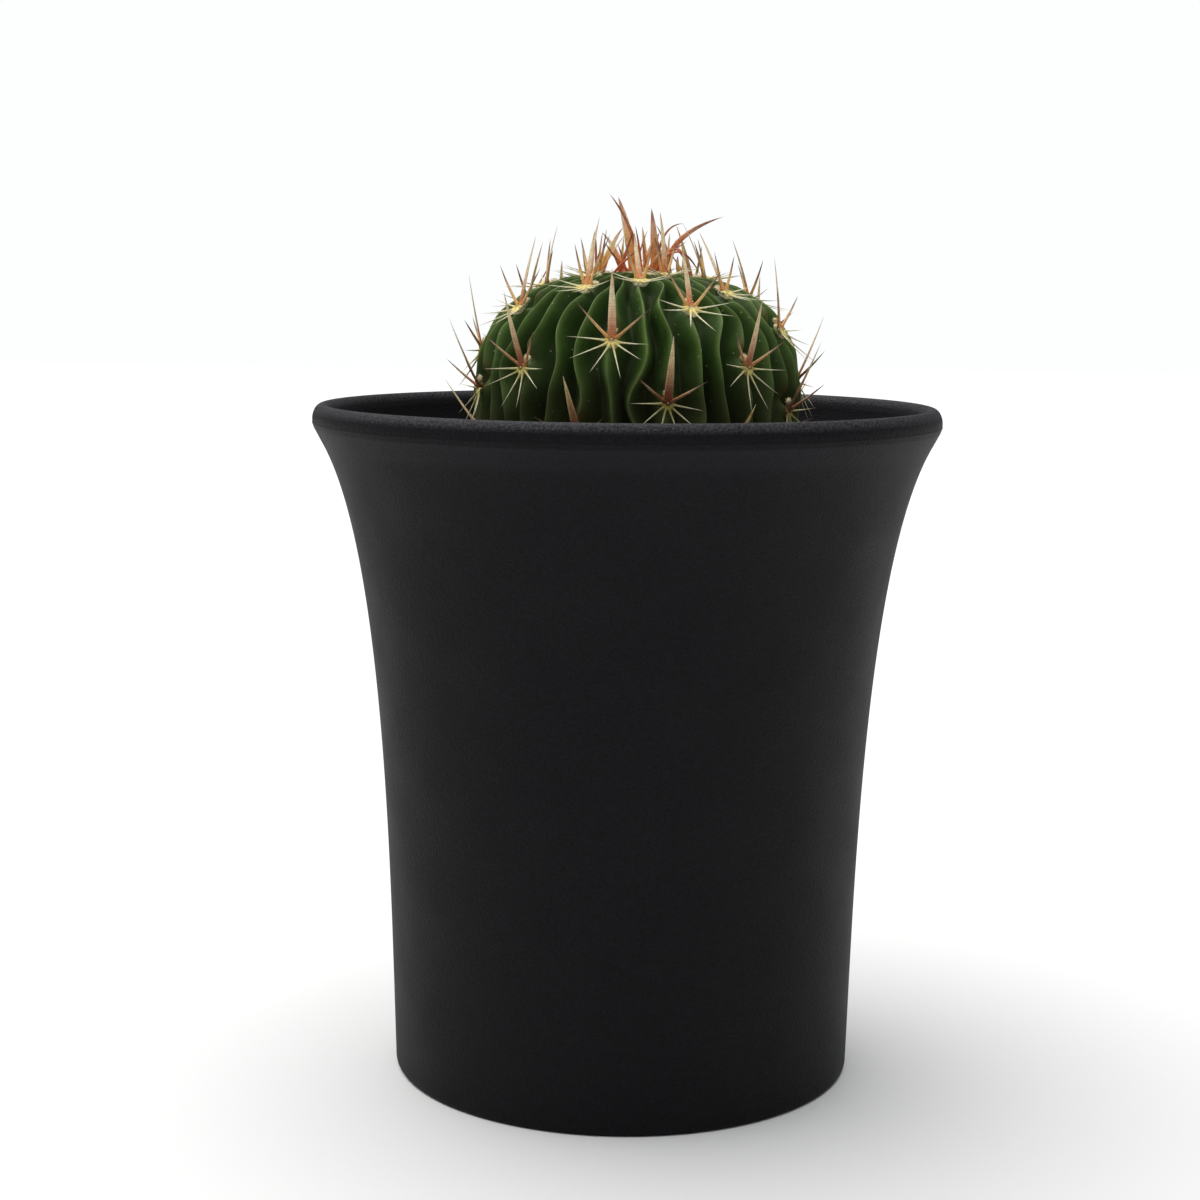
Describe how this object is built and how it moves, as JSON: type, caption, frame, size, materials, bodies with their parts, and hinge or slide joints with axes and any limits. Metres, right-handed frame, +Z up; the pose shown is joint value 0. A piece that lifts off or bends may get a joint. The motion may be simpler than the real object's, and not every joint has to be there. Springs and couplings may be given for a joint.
{
  "type": "potted round cactus",
  "caption": "Round, many-ribbed cactus with star-shaped spine clusters, growing in a tall flared black plastic pot with a rolled rim.",
  "frame": {"origin": "centre of the circle the pot stands on, at table level", "axes": "+Z up along the pot's axis; -Y is the front, the side the cactus is looked at from; +X to the right of that view"},
  "size_m": [0.1018, 0.1018, 0.145],
  "materials": {
    "pot": "fine-grained matte black",
    "soil": "dry potting mix of bark and grit",
    "stem": "waxy green skin",
    "spines": "dry, straw to red-brown",
    "crown": "cream wool with young red-brown spines"
  },
  "bodies": {
    "root": {"pot": "pot", "soil": "soil", "stem": "stem", "crown": "crown", "areole_01": "spines", "areole_02": "spines", "areole_03": "spines", "areole_04": "spines", "areole_05": "spines", "areole_06": "spines", "areole_07": "spines", "areole_08": "spines", "areole_09": "spines", "areole_10": "spines", "areole_11": "spines", "areole_12": "spines", "areole_13": "spines", "areole_14": "spines", "areole_15": "spines", "areole_16": "spines", "areole_17": "spines", "areole_18": "spines", "areole_19": "spines", "areole_20": "spines", "areole_21": "spines", "areole_22": "spines", "areole_23": "spines", "areole_24": "spines", "areole_25": "spines", "areole_26": "spines", "areole_27": "spines", "areole_28": "spines", "areole_29": "spines", "areole_30": "spines", "areole_31": "spines", "areole_32": "spines", "areole_33": "spines", "areole_34": "spines", "areole_35": "spines", "areole_36": "spines"}
  },
  "joints": []
}
